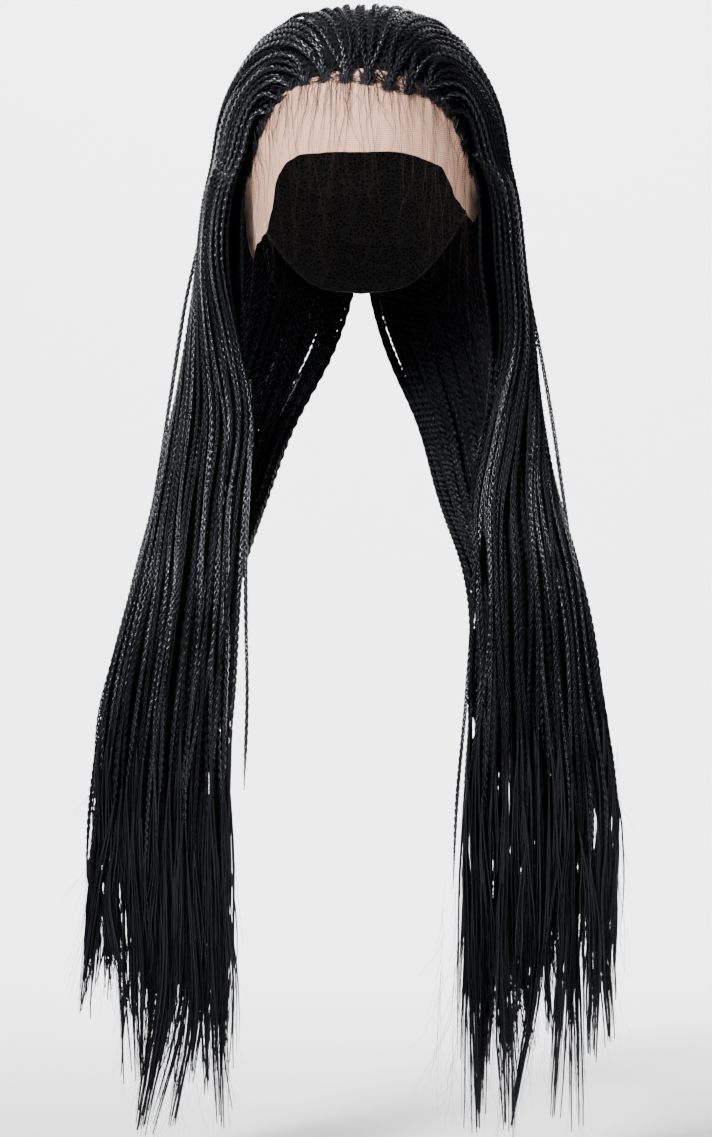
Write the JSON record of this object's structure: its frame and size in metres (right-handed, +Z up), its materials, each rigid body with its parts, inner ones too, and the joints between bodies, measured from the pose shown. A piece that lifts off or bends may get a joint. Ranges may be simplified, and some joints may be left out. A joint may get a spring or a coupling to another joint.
{
  "type": "braid wig",
  "caption": "Long black micro-braid wig with a net cap, a sheer lace front and braids falling over both shoulders.",
  "frame": {"origin": "where the crown of the head touches the inside of the cap", "axes": "+Z up, the face opening towards -Y, +X towards the wearer's left"},
  "size_m": [0.3171, 0.2479, 0.6843],
  "materials": {
    "cap_net": "matt black stretch net",
    "lace": "sheer skin-tone lace",
    "braid_hair": "glossy black braided fibre"
  },
  "bodies": {
    "root": {"wig_cap": "cap_net", "lace_front": "lace", "left_crown_braids": "braid_hair", "right_crown_braids": "braid_hair", "left_front_braids": "braid_hair", "right_front_braids": "braid_hair", "left_side_braids": "braid_hair", "right_side_braids": "braid_hair", "left_back_braids": "braid_hair", "right_back_braids": "braid_hair"}
  },
  "joints": []
}
